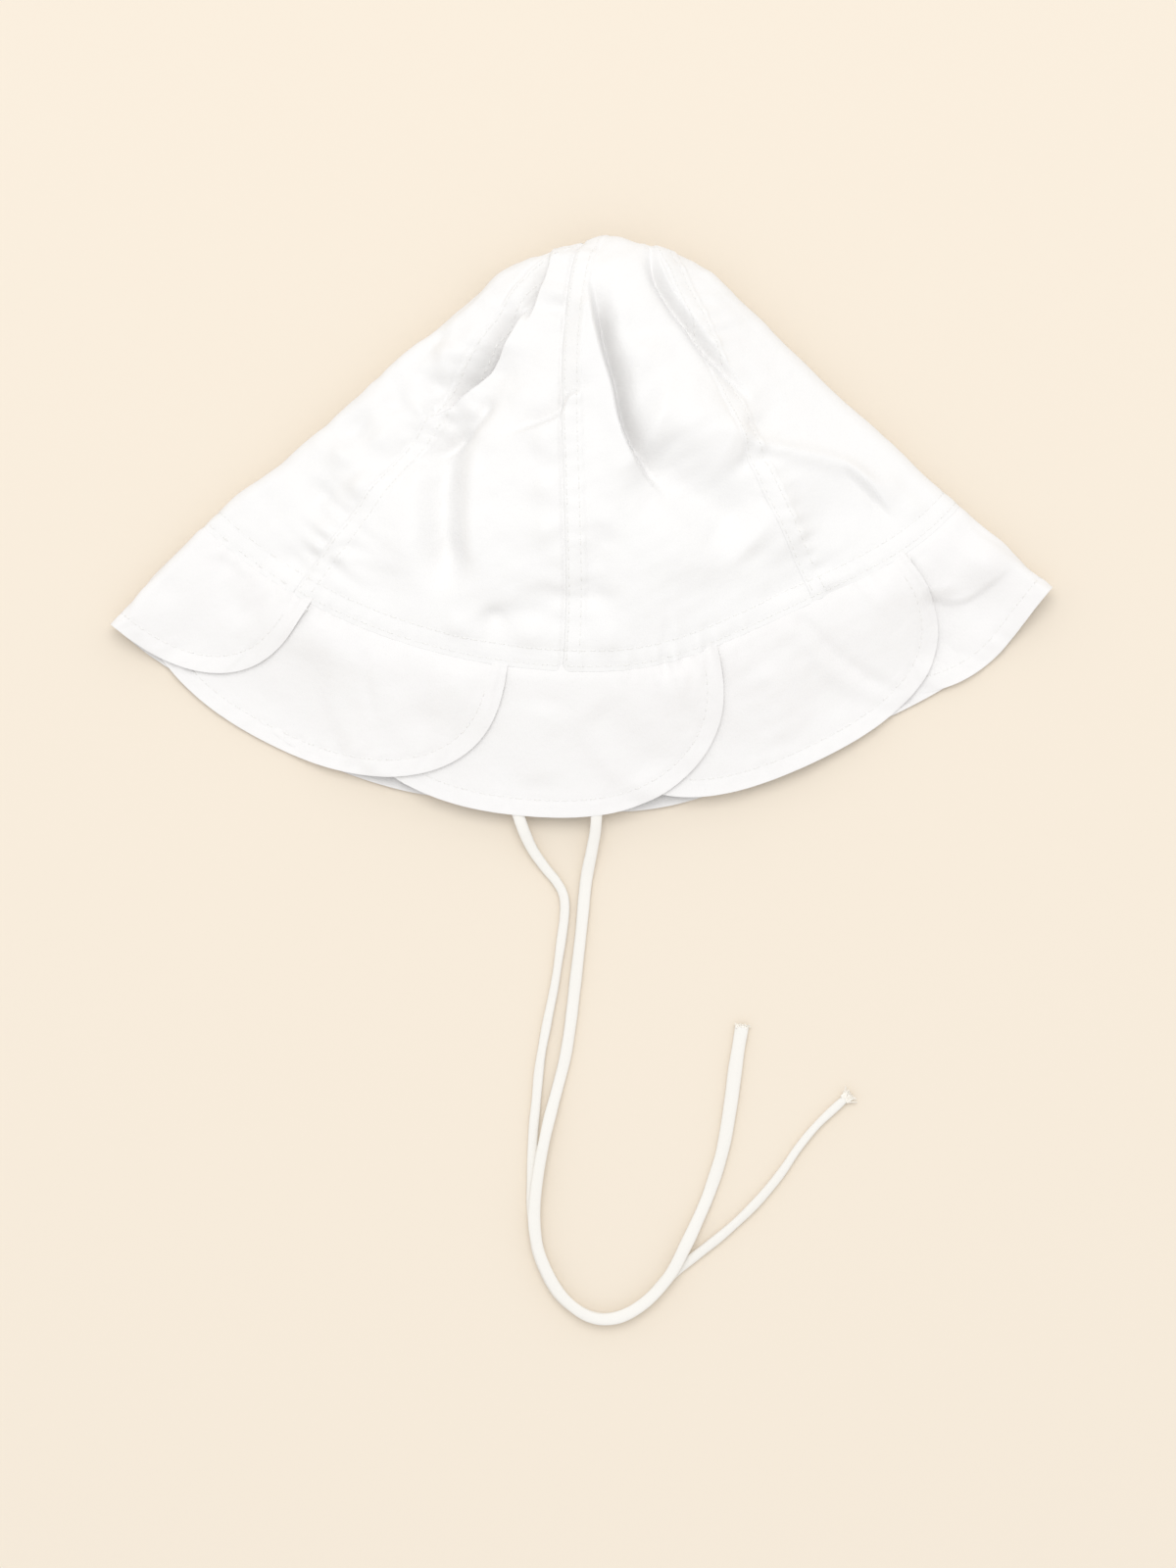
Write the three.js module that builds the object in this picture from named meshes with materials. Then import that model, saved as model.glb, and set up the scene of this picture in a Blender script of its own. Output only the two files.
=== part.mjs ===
import * as THREE from "three";

// Driving sizes, in millimetres.
const HALF_WIDTH = 117.2; // middle of the hat to its left fold, at the brim seam
const CROWN_DROP = 126.5; // top edge of the hat down to the brim seam
const PUFF_HEIGHT = 29; // highest point of the collapsed crown
const BRIM_DEPTH = 44; // petal depth, from the seam to its hem
const CROWN_WALL = 1.1; // crown cotton
const PETAL_WALL = 1.1; // brim cotton, doubled
const PIECE_GAP = 0.3; // clear space between neighbouring pieces
const EDGE_RADIUS = 3.6; // rounding where the upper layer turns into a side fold
const TIE_WIDTH = 3.4; // flat tie
const TIE_THICKNESS = 1.8;
const PANEL_COUNT = 6;
const PETAL_COUNT = 8;
const COLUMNS = 64; // columns of points round the hat
const TIE_STEPS = 70; // lengths along a tie
const PANEL_STEPS = 17; // cells from the tip to the seam
const PETAL_STEPS = 5; // cells from the seam to the hem

// Shares of the sizes above.
const FAN_ANGLE = THREE.MathUtils.degToRad(49); // half angle of the crown when flattened into a fan
const LIE_TILT = 0.027; // the brim seam climbs slightly to the right
const RIGHT_SAG = 0.04; // upward bow of the seam right of the middle, share of the crown drop
const DOME_POWER = 1.2;
const FOLD_BLEND = 0.08; // share of a half turn given to each side fold
const FOLD_COLUMNS = 0.045; // share of a turn beside each side fold that has twice the columns
const PETAL_CORNER = [0.008, 0.035]; // extra columns at a petal's rounded corners, shares of its span
const CROWN_START = 0.02; // panels stop just short of the crown's tip
const FIRST_SEAM = 0.0745; // first crown seam, share of a turn from the left fold
const FIRST_PETAL = 0.0931; // middle of the first petal, share of a turn from the left fold
const PETAL_OVERLAP = 1.64; // petal span, share of the petal spacing
const PETAL_ROUNDNESS = 2.5; // exponent of the rounded hem
const TIE_CORNER = 0.45; // share of half the tie's thickness
const HEM_ROOT = 0.05; // depth left at a petal's corners, share of the petal depth

// Loops of the hat from the crown's tip outwards, one row a loop. Shares: reaches of the half width,
// drops of the crown drop, heights of the puff height.
// down, left reach, right reach, drop at the folds, drop of the upper layer, drop of the lower layer,
// height at the folds, height of the upper layer
const LOOP_ROWS = [
  [0.0, 0.0, 0.0, 0.095, 0.095, 0.095, 0.034, 0.034],
  [0.08, 0.09, 0.09, 0.07, 0.009, 0.162, 0.103, 0.241],
  [0.16, 0.179, 0.175, 0.047, 0.022, 0.233, 0.19, 0.517],
  [0.25, 0.27, 0.25, 0.083, 0.085, 0.312, 0.241, 0.707],
  [0.35, 0.366, 0.33, 0.158, 0.206, 0.403, 0.259, 0.828],
  [0.5, 0.51, 0.45, 0.27, 0.391, 0.538, 0.241, 0.966],
  [0.65, 0.657, 0.575, 0.383, 0.581, 0.672, 0.224, 1.0],
  [0.8, 0.801, 0.699, 0.492, 0.767, 0.806, 0.207, 0.914],
  [1.0, 1.0, 0.871, 0.64, 1.0, 0.988, 0.186, 0.64],
  [1.333, 1.277, 1.178, 0.889, 1.391, 1.379, 0.17, 0.42],
];
const LOOP_COLUMNS = ["down", "left", "right", "ends", "upper", "lower", "endHeight", "upperHeight"];
const BRIM_REACH = 1.186; // crown drops covered by one unit of down, beyond the seam

// Crown seams, one row a seam: shift from even spacing, then the drift at the crown's tip, in turns.
// The upper layer's folds take up cloth, so its seams lie closer together.
const SEAM_ROWS = [
  [0, 0],
  [-0.0147, -0.094],
  [-0.03, 0.006],
  [-0.0176, 0],
  [-0.0118, 0],
  [-0.0058, 0],
];

// Brim petals, one row a petal: shift from even spacing in turns, share of the petal depth at the
// middle, and what that share gains from there to the outer end.
const PETAL_ROWS = [
  [0.002, 1, 0],
  [-0.005, 0.99, 0],
  [-0.003, 1, 0],
  [0.002, 1.01, -0.28],
  [0.005, 0.95, 0],
  [0.007, 0.97, 0],
  [0.01, 0.99, 0],
  [0.015, 0.97, 0],
];

// Folds of the upper layer, one row a fold: three points (across, down), then width and height as
// shares of the puff height. Across runs from -1 at the left fold to 1 at the right fold.
const FOLD_ROWS = [
  [-0.14, 0.3, -0.02, 0.43, 0.1, 0.6, 0.16, -0.2],
  [-0.8, 0.17, -0.62, 0.27, -0.55, 0.32, 0.15, -0.12],
  [-0.6, 0.35, -0.62, 0.45, -0.7, 0.56, 0.2, -0.22],
  [-0.5, 0.54, -0.51, 0.65, -0.39, 0.85, 0.38, -0.16],
  [0.56, 0.24, 0.57, 0.34, 0.68, 0.54, 0.17, -0.18],
  [0.13, 0.57, 0.31, 0.64, 0.46, 0.78, 0.45, -0.17],
  [0.3, 0.49, 0.4, 0.52, 0.56, 0.6, 0.35, 0.12],
  [0.69, 0.675, 0.8, 0.74, 0.85, 0.88, 0.3, 0.14],
  [-0.42, 0.565, -0.22, 0.53, -0.09, 0.475, 0.22, -0.1],
  [-0.4, 0.93, -0.26, 0.91, -0.12, 0.9, 0.3, -0.1],
];

function ease(from, to, value) {
  const share = THREE.MathUtils.clamp((value - from) / (to - from), 0, 1);
  return share * share * (3 - 2 * share);
}

// Smooth curve through one column of the loop table.
function loopValue(name, down) {
  const column = LOOP_COLUMNS.indexOf(name);
  const last = LOOP_ROWS.length - 1;
  let row = 0;
  while (row < last - 1 && down > LOOP_ROWS[row + 1][0]) {
    row += 1;
  }
  const slope = (index) => {
    const before = LOOP_ROWS[Math.max(index - 1, 0)];
    const after = LOOP_ROWS[Math.min(index + 1, last)];
    return (after[column] - before[column]) / (after[0] - before[0]);
  };
  const start = LOOP_ROWS[row];
  const stop = LOOP_ROWS[row + 1];
  const width = stop[0] - start[0];
  const t = (down - start[0]) / width;
  if (t > 1) {
    return stop[column] + slope(last) * (down - stop[0]);
  }
  const t2 = t * t;
  const t3 = t2 * t;
  return (2 * t3 - 3 * t2 + 1) * start[column] + (t3 - 2 * t2 + t) * width * slope(row)
    + (3 * t2 - 2 * t3) * stop[column] + (t3 - t2) * width * slope(row + 1);
}

// Position across the hat, -1 to 1, for a share of a turn. It eases off at the side folds.
function acrossAt(turn) {
  const wrapped = turn - Math.floor(turn);
  const straight = wrapped < 0.5 ? wrapped * 4 - 1 : 3 - wrapped * 4;
  const left = 1 - Math.abs(straight);
  const eased = left < FOLD_BLEND ? (left * left) / (2 * FOLD_BLEND) : left - FOLD_BLEND / 2;
  return Math.sign(straight) * (1 - eased / (1 - FOLD_BLEND / 2));
}

// Outer face of the lying hat before the small folds are added.
function smoothPoint(turn, down) {
  const upper = turn - Math.floor(turn) < 0.5;
  const across = acrossAt(turn);
  const round = ease(0.05, 0.5, down);
  const fanX = Math.sin(FAN_ANGLE * across) / Math.sin(FAN_ANGLE);
  const fanY = (Math.cos(FAN_ANGLE * across) - Math.cos(FAN_ANGLE)) / (1 - Math.cos(FAN_ANGLE));
  const sideways = across + (fanX - across) * round;
  const bow = 1 - across * across + (fanY - 1 + across * across) * round;
  const reach = HALF_WIDTH * loopValue(across < 0 ? "left" : "right", down);
  const ends = CROWN_DROP * loopValue("ends", down);
  const middle = CROWN_DROP * loopValue(upper ? "upper" : "lower", down);
  const x = reach * sideways;
  const sag = across > 0 ? RIGHT_SAG * CROWN_DROP * Math.sin(Math.PI * across) ** 2 * ease(0.5, 1, down) : 0;
  const y = -ends - (middle - ends) * bow + LIE_TILT * x + sag;
  const side = PUFF_HEIGHT * loopValue("endHeight", down);
  const top = PUFF_HEIGHT * loopValue("upperHeight", down);
  const inFromFold = (1 - Math.abs(across)) * reach;
  if (!upper) {
    return new THREE.Vector3(x, y, side - Math.sqrt(side ** 2 - Math.max(0, side - inFromFold) ** 2));
  }
  const nose = Math.max(0, Math.min(EDGE_RADIUS, top - side));
  const rise = Math.sqrt(nose ** 2 - Math.max(0, nose - inFromFold) ** 2);
  const dome = Math.max(0, top - side - nose) * (1 - across * across) ** DOME_POWER;
  return new THREE.Vector3(x, y, side + rise + dome);
}

function steps(turn, down) {
  const small = 1e-4;
  const here = smoothPoint(turn, down);
  return {
    here,
    around: smoothPoint(turn + small, down).sub(here).divideScalar(small),
    along: smoothPoint(turn, down + small).sub(here).divideScalar(small),
  };
}

const foldLines = FOLD_ROWS.map((row) => ({
  points: [0, 2, 4].map((at) => {
    const point = smoothPoint((row[at] + 1) / 4, row[at + 1]);
    return new THREE.Vector3(point.x, point.y, 0);
  }),
  width: row[6] * PUFF_HEIGHT,
  height: row[7] * PUFF_HEIGHT,
}));

// Height added by the folds at a place of the upper layer.
function foldHeight(point) {
  const flat = new THREE.Vector3(point.x, point.y, 0);
  const nearest = new THREE.Vector3();
  let total = 0;
  for (const fold of foldLines) {
    const distances = [0, 1].map((index) => {
      const line = new THREE.Line3(fold.points[index], fold.points[index + 1]);
      return line.closestPointToPoint(flat, true, nearest).distanceTo(flat);
    });
    total += fold.height * Math.exp(-((Math.min(...distances) / fold.width) ** 2));
  }
  return total;
}

// A point of the hat, set in from the outer face by a depth.
function hatPoint(turn, down, depth) {
  const { here, around, along } = steps(turn, down);
  const outward = along.clone().cross(around).normalize();
  const upper = turn - Math.floor(turn) < 0.5;
  const fade = ease(0, 0.12, 1 - Math.abs(acrossAt(turn))) * ease(0.12, 0.28, down) * ease(1.06, 0.98, down);
  const lift = upper ? foldHeight(here) * fade : 0;
  return here.addScaledVector(outward, lift - depth);
}

// Turns at which a piece has a column of points. All pieces share them, so that laid pieces run
// side by side, and they are closer at the side folds.
function columnShares(from, to, extra) {
  const turns = [];
  for (let count = Math.ceil(from * 2 * COLUMNS); count <= to * 2 * COLUMNS; count += 1) {
    const turn = count / (2 * COLUMNS);
    const fromFold = Math.abs(turn * 2 - Math.round(turn * 2)) / 2;
    if (count % 2 === 0 || fromFold < FOLD_COLUMNS) {
      turns.push((turn - from) / (to - from));
    }
  }
  const ends = [0, ...extra, ...extra.map((share) => 1 - share).reverse(), 1];
  const clear = 0.3 / COLUMNS / (to - from);
  const kept = turns.filter((share) => ends.every((end) => Math.abs(end - share) > clear)
    && share > (extra.at(-1) ?? 0) && share < 1 - (extra.at(-1) ?? 0));
  return [...ends, ...kept].sort((a, b) => a - b);
}

// Closed body from two matching grids of points, an outer face and an inner face.
function closedSheet(shares, rows, outer, inner) {
  const positions = [];
  const index = [];
  const columns = shares.length - 1;
  for (const face of [outer, inner]) {
    for (let row = 0; row <= rows; row += 1) {
      for (let column = 0; column <= columns; column += 1) {
        positions.push(...face(shares[column], row / rows).toArray());
      }
    }
  }
  const innerStart = (columns + 1) * (rows + 1);
  const at = (row, column) => row * (columns + 1) + column;
  const quad = (a, b, c, d) => index.push(a, b, c, a, c, d);
  for (let row = 0; row < rows; row += 1) {
    for (let column = 0; column < columns; column += 1) {
      const [a, b, c, d] = [at(row, column), at(row + 1, column), at(row + 1, column + 1), at(row, column + 1)];
      quad(a, b, c, d);
      quad(a + innerStart, d + innerStart, c + innerStart, b + innerStart);
    }
  }
  const border = [];
  for (let column = 0; column < columns; column += 1) {
    border.push([at(0, column + 1), at(0, column)], [at(rows, column), at(rows, column + 1)]);
  }
  for (let row = 0; row < rows; row += 1) {
    border.push([at(row, 0), at(row + 1, 0)], [at(row + 1, columns), at(row, columns)]);
  }
  for (const [a, b] of border) {
    quad(b, a, a + innerStart, b + innerStart);
  }
  const geometry = new THREE.BufferGeometry();
  geometry.setAttribute("position", new THREE.Float32BufferAttribute(positions, 3));
  geometry.setIndex(index);
  geometry.computeVertexNormals();
  return geometry;
}

const hat = new THREE.Group();
hat.name = "baby_sun_hat";

function addPiece(name, geometry, color, roughness) {
  const material = new THREE.MeshStandardMaterial({ color, roughness, metalness: 0 });
  const piece = new THREE.Mesh(geometry, material);
  piece.name = name;
  hat.add(piece);
}

function seamTurn(seam, down) {
  const [shift, drift] = SEAM_ROWS[(seam % PANEL_COUNT) % SEAM_ROWS.length];
  return FIRST_SEAM + seam / PANEL_COUNT + shift + drift * (1 - down) ** 2;
}

// Half the gap between panels, as a turn, square to the seam.
function seamGap(turn, down) {
  const { around, along } = steps(turn, down);
  const tipSpare = 1 + 1.5 * ease(0.3, 0.1, down);
  return tipSpare * PIECE_GAP / 2 * along.length() / along.cross(around).length();
}

// Crown panels, from one seam to the next.
for (let panel = 0; panel < PANEL_COUNT; panel += 1) {
  const face = (depth) => (share, rowShare) => {
    const tail = PIECE_GAP / 2 / steps(seamTurn(panel, 1), 1).along.length();
    const down = CROWN_START + (1 - tail - CROWN_START) * rowShare ** 1.15;
    const from = seamTurn(panel, down);
    const to = seamTurn(panel + 1, down);
    const fromGap = seamGap(from, down);
    const toGap = seamGap(to, down);
    return hatPoint(from + fromGap + (to - toGap - from - fromGap) * share, down, depth);
  };
  const shares = columnShares(seamTurn(panel, 1), seamTurn(panel + 1, 1), []);
  const body = closedSheet(shares, PANEL_STEPS, face(0), face(CROWN_WALL));
  addPiece(`crown_panel_${panel + 1}`, body, 0xf6f3f2, 0.9);
}

// Brim petals. The end with the higher turn lies outside its neighbour, the other end inside.
const petalStep = PETAL_WALL + 2 * PIECE_GAP;
for (let petal = 0; petal < PETAL_COUNT; petal += 1) {
  const [shift, depthShare, slant] = PETAL_ROWS[petal % PETAL_ROWS.length];
  const centre = FIRST_PETAL + petal / PETAL_COUNT + shift;
  const halfSpan = PETAL_OVERLAP / PETAL_COUNT / 2;
  const lapEnd = 2 / PETAL_OVERLAP - 1;
  const face = (depth) => (share, rowShare) => {
    const side = share * 2 - 1;
    const hem = (1 - Math.abs(side) ** PETAL_ROUNDNESS) ** (1 / PETAL_ROUNDNESS);
    const depthHere = BRIM_DEPTH * (depthShare + slant * side);
    const length = depthHere * (HEM_ROOT + (1 - HEM_ROOT) * hem) / (BRIM_REACH * CROWN_DROP);
    const turn = centre + side * halfSpan;
    const head = PIECE_GAP / 2 / steps(turn, 1).along.length();
    const tuck = petalStep * (1 - ease(-lapEnd, lapEnd, side));
    return hatPoint(turn, 1 + head + length * rowShare, tuck + depth);
  };
  const shares = columnShares(centre - halfSpan, centre + halfSpan, PETAL_CORNER);
  const body = closedSheet(shares, PETAL_STEPS, face(0), face(PETAL_WALL));
  addPiece(`brim_petal_${petal + 1}`, body, 0xf9f7f6, 0.9);
}

// Routes of the two ties, from inside the brim seam to the cut end, in millimetres.
const LOWER_TIE_ROUTE = [
  [-34.2, -117.4, 2.4],
  [-33.1, -121.4, 3.75],
  [-32.2, -126, 4.2],
  [-29.6, -147.3, 4.2],
  [-27.1, -163, 4.2],
  [-24.8, -171, 4.1],
  [-21.9, -177.6, 2.4],
  [-18.2, -183, 1.2],
  [-14.8, -187.2, 1.05],
  [-12.8, -191.2, 1.05],
  [-12.5, -196.4, 1.05],
  [-13.7, -205.8, 1.05],
  [-15.4, -217.2, 1.05],
  [-17.7, -228.6, 1.05],
  [-19.7, -240, 1.05],
  [-20.8, -251.4, 1.05],
  [-21.7, -261.3, 1.05],
  [-21.9, -272.7, 1.05],
  [-21.7, -284.1, 1.05],
  [-19.9, -295.8, 1.05],
  [-14.2, -306.9, 1.05],
  [-5.7, -313.2, 1.05],
  [2.3, -313.8, 1.05],
  [10.5, -309.5, 1.05],
  [18.8, -301, 1.05],
  [25.6, -295.8, 1.05],
  [34.2, -289, 1.05],
  [42.7, -281, 1.05],
  [49.9, -272.5, 1.05],
  [55.6, -264.2, 1.05],
  [61.3, -257.4, 1.05],
  [69, -250.2, 1.05],
];
const UPPER_TIE_ROUTE = [
  [-2.3, -120.3, 17.25],
  [-2.6, -127.4, 13.9],
  [-2.8, -138.8, 11.1],
  [-2.8, -147.3, 9.1],
  [-3.1, -158.7, 6.4],
  [-3.4, -170.7, 4.6],
  [-4.6, -178.1, 2.8],
  [-6.3, -187.2, 1.2],
  [-7.7, -201.5, 1.05],
  [-9.3, -215.7, 1.05],
  [-10.8, -228.6, 1.05],
  [-12.3, -238, 1.05],
  [-14.2, -245.7, 1.3],
  [-17.2, -257.1, 2.95],
  [-19.6, -268.5, 3.15],
  [-21.1, -279.9, 3.15],
  [-21.1, -288.4, 3.15],
  [-19.1, -297, 3.15],
  [-13.7, -306.9, 3.15],
  [-5.7, -313.2, 3.15],
  [2.3, -313.8, 3.15],
  [10.5, -309.5, 3.15],
  [17.7, -301.8, 3.15],
  [22.5, -293, 3.15],
  [26.2, -285.3, 2],
  [29.6, -277.3, 1.05],
  [33.3, -265.6, 1.05],
  [35.6, -252.8, 1.05],
  [37.3, -240, 1.05],
  [39, -229.4, 1.05],
];

const UP = new THREE.Vector3(0, 0, 1);

// Flat band with eased corners along a route. Its broad faces stay level.
function tieBody(route) {
  const [t, w] = [TIE_THICKNESS / 2, TIE_WIDTH / 2];
  const corner = t * TIE_CORNER;
  const section = new THREE.Shape([
    new THREE.Vector2(t, corner - w),
    new THREE.Vector2(t, w - corner),
    new THREE.Vector2(t - corner, w),
    new THREE.Vector2(corner - t, w),
    new THREE.Vector2(-t, w - corner),
    new THREE.Vector2(-t, corner - w),
    new THREE.Vector2(corner - t, -w),
    new THREE.Vector2(t - corner, -w),
  ]);
  const curve = new THREE.CatmullRomCurve3(route.map((point) => new THREE.Vector3(...point)));
  curve.computeFrenetFrames = (count) => {
    const tangents = Array.from({ length: count + 1 }, (_, at) => curve.getTangentAt(at / count));
    const binormals = tangents.map((ahead) => ahead.clone().cross(UP).normalize());
    const normals = binormals.map((sideways, at) => sideways.clone().cross(tangents[at]));
    return { tangents, normals, binormals };
  };
  const options = { steps: TIE_STEPS, extrudePath: curve, bevelEnabled: false };
  return new THREE.ExtrudeGeometry(section, options);
}

// The frame's origin is the middle of the hat without its ties, on the surface that it lies on.
const hatBox = new THREE.Box3().setFromObject(hat, true);
const middle = hatBox.getCenter(new THREE.Vector3());
addPiece("tie_lower", tieBody(LOWER_TIE_ROUTE), 0xf2efee, 0.85);
addPiece("tie_upper", tieBody(UPPER_TIE_ROUTE), 0xf2efee, 0.85);
for (const piece of hat.children) {
  piece.geometry.translate(-middle.x, -middle.y, -hatBox.min.z);
}

export default hat;
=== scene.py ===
import math

import bmesh
import bpy
import numpy as np
from mathutils import Matrix, Vector


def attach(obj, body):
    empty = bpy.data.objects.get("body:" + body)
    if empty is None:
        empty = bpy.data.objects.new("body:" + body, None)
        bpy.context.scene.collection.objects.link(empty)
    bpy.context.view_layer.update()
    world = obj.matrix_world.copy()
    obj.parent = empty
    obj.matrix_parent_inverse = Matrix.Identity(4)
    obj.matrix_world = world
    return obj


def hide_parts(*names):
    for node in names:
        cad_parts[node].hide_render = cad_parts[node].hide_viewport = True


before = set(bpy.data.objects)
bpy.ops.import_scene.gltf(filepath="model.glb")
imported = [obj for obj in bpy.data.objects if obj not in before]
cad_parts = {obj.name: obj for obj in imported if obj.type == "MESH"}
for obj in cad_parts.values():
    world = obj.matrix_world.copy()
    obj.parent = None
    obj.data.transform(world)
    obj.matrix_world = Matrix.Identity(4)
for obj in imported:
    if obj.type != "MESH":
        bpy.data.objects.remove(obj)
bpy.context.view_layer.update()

# A baby's sun hat of white cotton, lying flat on its side: a crown of six panels, a brim of eight
# lapped petals and two cotton ties. Sizes are in millimetres, and meshes are made in metres.
MM = 0.001

# Sizes of the lying hat, as its solids have them.
HALF_WIDTH, CROWN_DROP, PUFF_HEIGHT, BRIM_DEPTH, EDGE_RADIUS = 117.2, 126.5, 29.0, 44.0, 3.6
BRIM_REACH = 1.186 * CROWN_DROP  # millimetres for one unit of down, beyond the seam
FAN_ANGLE, FOLD_BLEND, LIE_TILT, RIGHT_SAG = math.radians(49), 0.08, 0.027, 0.04
PANEL_COUNT, FIRST_SEAM = 6, 0.0745
PETAL_COUNT, FIRST_PETAL, PETAL_OVERLAP, PETAL_ROUNDNESS, HEM_ROOT = 8, 0.0931, 1.64, 2.5, 0.05
PETAL_HALF_SPAN = PETAL_OVERLAP / PETAL_COUNT / 2
MIDDLE = np.array([6.7582, 84.9933, 0.0])  # from the corner that the tables use to the frame's origin

# Sizes of the cloth and its sewing.
CROWN_CLOTH, PETAL_CLOTH, PETAL_STEP, PETAL_DROOP, PETAL_CURL = 0.5, 0.55, 0.8, 6.6, 0.5
FELL_WIDTH, PETAL_TUCK = 5.4, 1.6
SEAM_DIP, SEAM_DIP_WIDTH, BRIM_GATHER = 0.35, 1.3, 0.3  # how the cloth sinks and gathers at the brim seam
STITCH_LENGTH, STITCH_WIDTH, STITCH_PITCH = 2.0, 0.3, 2.7
SEAM_STITCHES, EDGE_STITCHES, HEM_STITCHES = (0.9, 4.4), (1.6, 6.2), 5.0  # from a crown seam, brim seam or hem
TURN_LENGTH = 560.0  # round the brim in one turn, about

# Places round the hat are turns: 0 at its left fold, up to 0.5 on the upper layer and from there on
# the lower one. Places down it run from 0 at the crown's tip to 1 at the brim seam. Across runs from
# -1 at the left fold to 1 at the right one.
#
# Loops round the hat: down, left and right reach, drop at the folds, of the
# upper and of the lower layer, height at the folds and above them
LOOPS = np.array([
    [0.0, 0.0, 0.0, 0.095, 0.095, 0.095, 0.034, 0.034],
    [0.08, 0.09, 0.09, 0.07, 0.009, 0.162, 0.103, 0.241],
    [0.16, 0.179, 0.175, 0.047, 0.022, 0.233, 0.19, 0.517],
    [0.25, 0.27, 0.25, 0.083, 0.085, 0.312, 0.241, 0.707],
    [0.35, 0.366, 0.33, 0.158, 0.206, 0.403, 0.259, 0.828],
    [0.5, 0.51, 0.45, 0.27, 0.391, 0.538, 0.241, 0.966],
    [0.65, 0.657, 0.575, 0.383, 0.581, 0.672, 0.224, 1.0],
    [0.8, 0.801, 0.699, 0.492, 0.767, 0.806, 0.207, 0.914],
    [1.0, 1.0, 0.871, 0.64, 1.0, 0.988, 0.186, 0.64],
    [1.333, 1.277, 1.178, 0.889, 1.391, 1.379, 0.17, 0.42],
])
LEFT, RIGHT, ENDS, UPPER, LOWER, END_HEIGHT, UPPER_HEIGHT = range(1, 8)

# Crown seams: shift from even spacing and drift at the tip, in turns
SEAMS = [(0, 0), (-0.0147, -0.094), (-0.03, 0.006), (-0.0176, 0), (-0.0118, 0), (-0.0058, 0)]

# Crown seams, one row a seam: height of the gathers left and right of it, depth of its ditch and lift
# of its felled side
SEAM_LOOKS = [(1.1, 0.9, 0.2, 0.3), (0.62, 0.2, 0.8, 0.4), (0.3, 0.3, 0.2, 0.3),
              (0.3, 0.3, 0.3, 0.4), (0.3, 0.3, 0.3, 0.4), (0.3, 0.3, 0.3, 0.4)]

# Brim petals: shift from even spacing in turns, share of the petal depth at the middle, and what that
# share gains from there to the outer end
PETALS = [(0.002, 1, 0), (-0.005, 0.99, 0), (-0.003, 1, 0), (0.002, 0.97, -0.1),
          (0.005, 0.95, 0), (0.007, 0.97, 0), (0.01, 0.98, 0), (0.015, 0.96, 0.06)]

# The one hem that is bent in: its petal's index, the place along it, half width in the same share, depth
BENT_HEM = (3, 0.1, 0.3, 4.2)

# The folds are placed on the picture of the hat seen from above, as (right, down) in its pixels.
PIXEL = 0.285  # millimetres of the floor in one pixel of the picture
CORNER_PIXEL = (620, 243)  # where the corner that the tables use lies in the picture

# Soft folds of the upper layer: places, half width, height
SOFT_FOLDS = [
    ([(500, 404), (492, 424), (476, 442), (452, 458), (418, 480)], 2.4, -3.0),
    ([(486, 420), (462, 446), (452, 485), (450, 525), (454, 570), (470, 612)], 5.2, -7.4),
    ([(486, 458), (483, 500), (483, 545), (486, 592)], 2.8, 1.2),
    ([(516, 350), (496, 384), (465, 415), (425, 450), (370, 490)], 8.0, -5.0),
    ([(650, 420), (690, 432), (728, 446), (768, 464)], 10.5, 4.4),
    ([(648, 462), (686, 491), (727, 520), (770, 554)], 9.5, -6.4),
    ([(485, 648), (515, 636), (545, 624), (575, 616), (610, 618), (645, 630)], 4.5, -1.8),
    ([(616, 535), (610, 570), (606, 600), (608, 630)], 4.5, -1.6),
    ([(720, 440), (780, 460), (840, 473), (872, 488), (905, 512)], 2.8, 2.4),
    ([(768, 474), (793, 503), (806, 535), (822, 568)], 3.4, 1.5),
    ([(760, 560), (790, 590), (800, 620)], 5.5, -1.6),
    ([(592, 254), (628, 262), (664, 258)], 3.4, -1.0),
    ([(604, 300), (596, 352), (592, 402)], 3.4, 1.3),
    ([(452, 330), (420, 372), (384, 405)], 5.0, -1.6),
    ([(505, 300), (478, 318), (440, 340)], 4.0, 1.2),
]
PETAL_SOFT_FOLDS = [
    ([(956, 600), (962, 636), (962, 690)], 5.5, -2.0),
    ([(1000, 640), (1030, 640), (1060, 626)], 5.0, 0.8),
    ([(232, 560), (240, 600), (262, 640)], 5.5, -1.2),
    ([(376, 662), (375, 700), (384, 742)], 1.5, -0.5),
    ([(600, 720), (640, 760), (668, 800)], 7.0, -1.2),
    ([(560, 715), (548, 760), (552, 810)], 6.0, 0.9),
    ([(790, 598), (816, 634), (846, 664), (882, 690), (925, 714)], 2.2, -1.3),
    ([(770, 680), (790, 720), (800, 768)], 6.0, 0.9),
    ([(282, 640), (340, 668), (420, 690)], 5.0, 0.8),
]

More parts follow.
